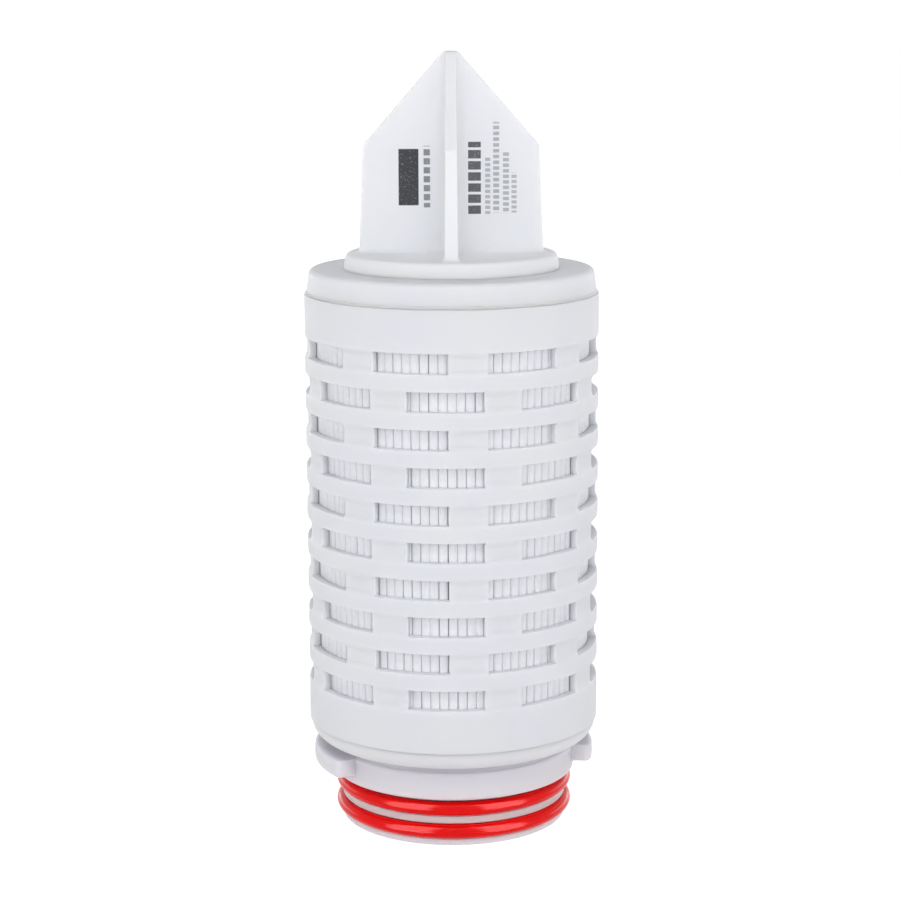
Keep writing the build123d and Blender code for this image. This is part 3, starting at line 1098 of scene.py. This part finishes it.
@dataclass
class Studio:
    """The white room: floor, world, lamps and the camera at the photograph's angle."""

    camera_back: float = 0.58347
    camera_height: float = 0.20112
    tilt: float = 0.19
    roll: float = math.radians(-0.25)
    focal_pixels: float = 2467.8
    frame_pixels: int = 900
    axis_column: float = 452.3
    principal_row: float = 455.7
    sensor: float = 36.0
    floor_radius: float = 6.0
    lamps: tuple[SoftBox, ...] = field(default_factory=lambda: (
        SoftBox("left_softbox", -48, 20, 2.0),
        SoftBox("right_softbox", 48, 20, 2.0),
        SoftBox("front_fill", 0, 12, 0.82, 1.6, 1.0, mirrored=False),
        SoftBox("high_fill", 0, 50, 6.8, 0.6, 0.4, mirrored=False),
        SoftBox("left_side_fill", -88, 0, 2.3, 1.2, 0.4, mirrored=False),
        SoftBox("right_side_fill", 88, 0, 2.3, 1.2, 0.4, mirrored=False),
        SoftBox("left_rear_softbox", -132, 0, 2.0),
        SoftBox("right_rear_softbox", 132, 0, 2.0),
        SoftBox("rear_fill", 180, 8, 1.5, 1.6, 1.0, mirrored=False),
    ))
    gleams: tuple[GleamPanel, ...] = field(default_factory=lambda: (
        GleamPanel("left_gleam", (-66, -22)),
        GleamPanel("right_gleam", (29, 71)),
    ))

    def build_camera(self) -> bpy.types.Object:
        """Places the camera so that the part stands in the frame as in the photograph."""
        data = bpy.data.cameras.new("camera")
        data.sensor_width = self.sensor
        data.lens = self.focal_pixels * self.sensor / self.frame_pixels
        middle = self.frame_pixels / 2
        data.shift_x = (middle - self.axis_column) / self.frame_pixels
        data.shift_y = (self.principal_row - middle) / self.frame_pixels
        camera = bpy.data.objects.new("camera", data)
        camera.location = (0, -self.camera_back, self.camera_height)
        camera.rotation_euler = (
            Euler((math.pi / 2 - self.tilt, 0, 0)).to_matrix() @ Euler((0, 0, self.roll)).to_matrix()
        ).to_euler()
        data.clip_start, data.clip_end = 0.01, 50
        bpy.context.scene.collection.objects.link(camera)
        bpy.context.scene.camera = camera
        return camera

    def build_world(self) -> None:
        """Makes the world white to the camera and in reflections, and a soft dome to the rest."""
        graph = Graph("studio_world", world=True)
        axes = graph.add("ShaderNodeSeparateXYZ", Vector=graph.add("ShaderNodeTexCoord").outputs["Generated"])
        level = graph.add(
            "ShaderNodeMapRange", Value=axes.outputs["Z"], From_Max=0.45, To_Min=0.5, To_Max=0.1
        ).outputs["Result"]
        dome = graph.add("ShaderNodeBackground", Color=shade(0.985, 0.99, 1.0), Strength=level)
        white = graph.add("ShaderNodeBackground", Color=shade(1, 1, 1))
        bpy.context.scene.world = graph.finish(graph.blend_shaders(graph.seen(), dome, white))

    def build_floor(self) -> bpy.types.Object:
        """Makes a pale floor that looks white to the camera and keeps the part's soft shadow."""
        ring = np.array([0.0, 0.12, 0.3, 0.8, 2.0, self.floor_radius])
        points = polar(ring[None, :], even_turns(64)[:, None], -0.05 * MM)
        faces = grid_quads(64, len(ring), Wrap.AROUND)[:, ::-1]
        floor = make_piece("studio_floor", points, faces)
        graph = Graph("floor_white")
        colour = graph.clouded(3, 2, 0.3, 0.7, shade(0.86, 0.86, 0.86), shade(0.88, 0.88, 0.88))
        cloth = graph.add("ShaderNodeBsdfDiffuse", Color=colour)
        glow = graph.add("ShaderNodeEmission", Color=shade(1, 1, 1), Strength=1.24)
        share = graph.math("MAXIMUM", graph.math("MULTIPLY", graph.seen(), 0.8), 0.3)
        floor.data.materials.append(graph.finish(graph.blend_shaders(share, cloth, glow)))
        floor.visible_glossy = False
        floor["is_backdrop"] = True
        return floor

    def build(self) -> None:
        """Builds the whole studio."""
        low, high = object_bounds()
        for lamp in self.lamps + self.gleams:
            lamp.build((low + high) / 2)
        self.build_world()
        self.build_floor()
        self.build_camera()


# Assembly


def fit(piece: bpy.types.Object, finish: bpy.types.Material, slot: str, *nodes: str) -> None:
    """Dresses a new piece, rides it on the cartridge and lets it stand for its frame nodes.

    Args:
        piece: The new piece.
        finish: Its material.
        slot: Not used.
        nodes: Frame nodes that it replaces.
    """
    piece.data.materials.append(finish)
    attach(piece, ROOT)
    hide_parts(*nodes)
    log.info("%s stands for %s", piece.name, ", ".join(nodes))


def dress(node: str, finish: bpy.types.Material) -> None:
    """Gives a frame node that stays as it is its finish."""
    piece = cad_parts[node]
    piece.data.materials.clear()
    piece.data.materials.append(finish)
    log.info("%s keeps its frame mesh", node)


def main() -> None:
    """Builds, dresses and fits every sub-assembly, then the studio."""
    logging.basicConfig(level=logging.INFO, format="%(message)s")
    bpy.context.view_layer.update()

    body, cloud = shade(0.725, 0.735, 0.778), shade(0.735, 0.745, 0.768)
    cage_plastic = MouldedPlastic("cage_plastic", body, cloud).material()
    cap_plastic = MouldedPlastic("cap_plastic", shade(0.72, 0.73, 0.773), cloud, depth=0.004).material()
    # The fin's own pale polypropylene, made lighter than the cage's as painted light for the brighter light
    # that falls on the fin and its collar top.
    fin_plastic = MouldedPlastic(
        "fin_plastic", shade(0.80, 0.807, 0.828), shade(0.79, 0.80, 0.824), bars=FIN_BARS, depth=0.002
    ).material()
    spigot_plastic = MouldedPlastic(
        "adapter_plastic", shade(0.685, 0.675, 0.72), shade(0.69, 0.68, 0.722), depth=0.005
    ).material()
    core_plastic = MouldedPlastic("core_plastic", body, cloud).material()
    silicone = SealSilicone("seal_silicone").material()
    steel = TurnedSteel("sleeve_steel").material()
    fleece = Fleece("support_fleece").material()
    film = Fleece("membrane_film", shade(0.86, 0.865, 0.87), shade(0.84, 0.845, 0.85), 1.0e-6).material()

    fit(OuterCage().build(), cage_plastic, "cage_plastic", "outer_cage")
    pack, depth = PleatedPack(), 0.0
    for name, node, thickness, finish, slot in (
        ("outer_fleece", "upstream_support", pack.support, fleece, "support_fleece"),
        ("folded_membrane", "membrane", pack.membrane, film, "membrane_film"),
        ("inner_fleece", "downstream_support", pack.support, fleece, "support_fleece"),
    ):
        fit(pack.build(name, node, depth, thickness), finish, slot, node)
        depth += thickness
    caps = EndCaps()
    fit(caps.build_top(), cap_plastic, "cap_plastic", "top_end_cap")
    fit(caps.build_bottom(), cap_plastic, "cap_plastic", "bottom_end_cap")
    fit(FinAdapter().build(), fin_plastic, "fin_plastic", "fin_adapter")
    fit(OringAdapter().build(), spigot_plastic, "adapter_plastic", "oring_adapter")
    rings = SealRings()
    for name, node in zip(SEALS, ("lower_oring", "upper_oring")):
        fit(rings.build(name, node), silicone, "seal_silicone", node)
    dress("inner_core", core_plastic)
    dress("reinforcing_sleeve", steel)

    Studio().build()
    bpy.context.scene.view_settings.view_transform = "Standard"


if __name__ == "__main__":
    main()
